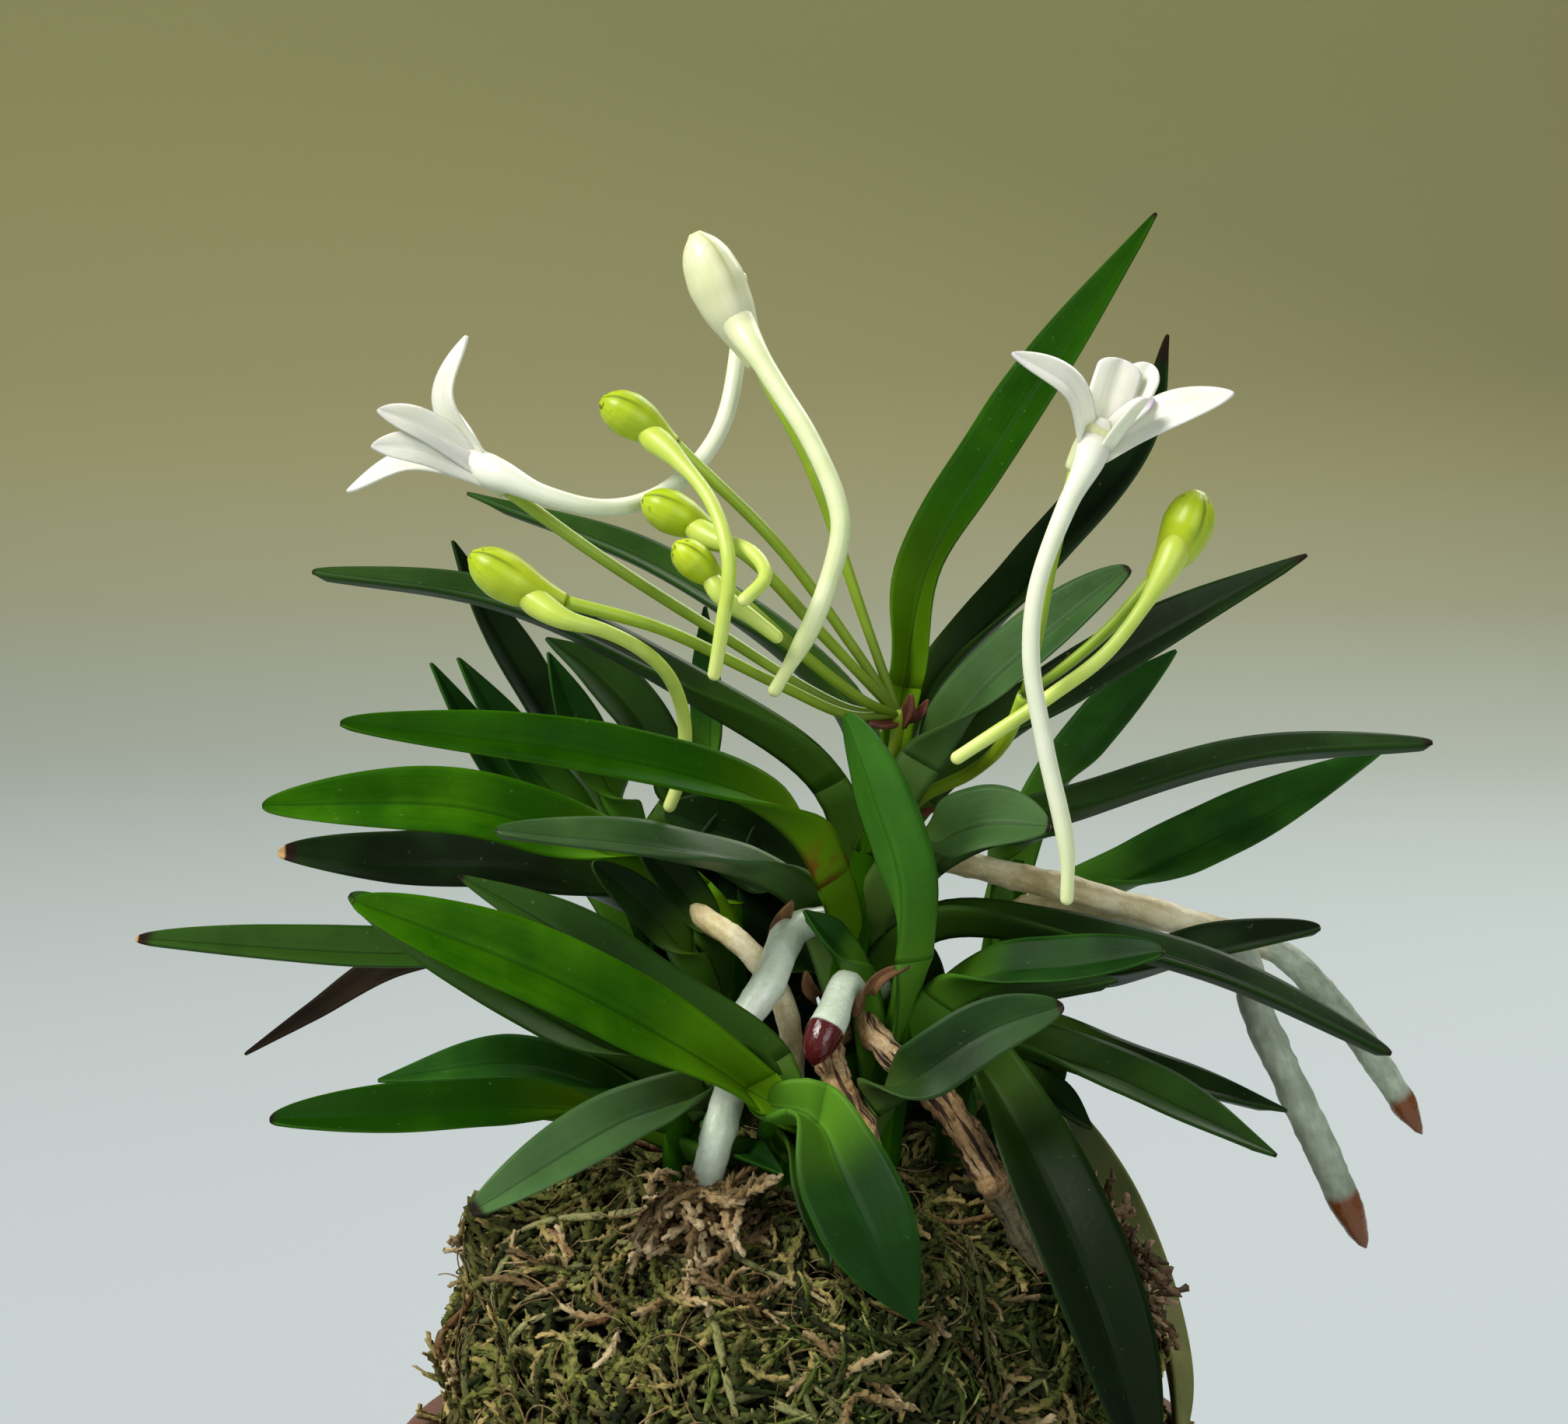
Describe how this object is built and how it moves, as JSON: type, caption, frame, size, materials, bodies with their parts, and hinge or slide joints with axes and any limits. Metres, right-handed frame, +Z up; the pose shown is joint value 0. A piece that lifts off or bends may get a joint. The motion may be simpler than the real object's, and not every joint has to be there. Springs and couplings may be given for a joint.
{
  "type": "potted orchid plant",
  "caption": "Potted orchid: arching keeled leaves in two ranks on short stems, white spurred flowers and buds, aerial roots, on a mound of moss that fills a plain round pot.",
  "frame": {"origin": "middle of the pot's flat underside", "axes": "+Z up, front of the plant towards -Y, +X to the right seen from the front"},
  "size_m": [0.1238, 0.08, 0.1911],
  "materials": {
    "leaf_young": "bright waxy leaf, satin",
    "leaf_fresh": "green waxy leaf, satin",
    "leaf_old": "dark green waxy leaf, satin",
    "leaf_grey": "grey-green waxy leaf with pale specks, satin",
    "leaf_tired": "yellowing old leaf, satin",
    "stem": "clasping leaf sheaths, satin",
    "flower_stalk": "fleshy yellow-green stalk, satin",
    "green_bud": "fleshy yellow-green bud, satin",
    "cream_bud": "fleshy cream bud, satin",
    "petal": "white petal, soft satin",
    "root_white": "spongy white root skin, matt",
    "root_tan": "spongy tan root skin, matt",
    "root_brown": "old brown root, rough",
    "moss": "dried sphagnum moss, matt",
    "pot": "plain fired pot, matt"
  },
  "bodies": {
    "root": {"pot": "pot", "leaf_main_left_1": "leaf_old", "leaf_main_left_2": "leaf_old", "leaf_main_left_3": "leaf_young", "leaf_main_left_4": "leaf_old", "leaf_main_right_1": "leaf_young", "leaf_main_right_2": "leaf_old", "leaf_main_right_3": "leaf_grey", "leaf_main_right_4": "leaf_old", "leaf_main_right_5": "leaf_grey", "leaf_main_right_6": "leaf_old", "leaf_main_right_7": "leaf_old", "leaf_front_1": "leaf_fresh", "leaf_front_2": "leaf_fresh", "leaf_front_3": "leaf_grey", "leaf_low_1": "leaf_young", "leaf_low_2": "leaf_old", "leaf_low_3": "leaf_fresh", "leaf_low_4": "leaf_grey", "leaf_left_1": "leaf_young", "leaf_left_2": "leaf_old", "leaf_left_3": "leaf_old", "leaf_left_4": "leaf_old", "leaf_left_low_1": "leaf_old", "leaf_left_low_2": "leaf_fresh", "leaf_left_low_3": "leaf_young", "leaf_back_left_1": "leaf_old", "leaf_back_left_2": "leaf_old", "leaf_back_right_1": "leaf_fresh", "leaf_back_right_2": "leaf_fresh", "leaf_back_right_3": "leaf_old", "leaf_right_1": "leaf_old", "leaf_right_2": "leaf_old", "leaf_right_3": "leaf_tired", "stem_main": "stem", "stem_front": "stem", "stem_low": "stem", "stem_left": "stem", "stem_left_low": "stem", "stem_back_left": "stem", "stem_back_right": "stem", "stem_right": "stem", "root_white_front": "root_white", "root_tan_front": "root_tan", "root_short_front": "root_white", "root_brown_front": "root_brown", "root_brown_right": "root_brown", "root_tan_right": "root_tan", "root_brown_back": "root_tan", "raceme_left_stalks": "flower_stalk", "raceme_right_stalks": "flower_stalk", "bud_left_cream": "cream_bud", "bud_left_upper": "green_bud", "bud_left_middle": "green_bud", "bud_left_inner": "green_bud", "bud_left_lower": "green_bud", "bud_right": "green_bud", "flower_left_open": "petal", "flower_right_open": "petal", "moss_mound": "moss"}
  },
  "joints": []
}
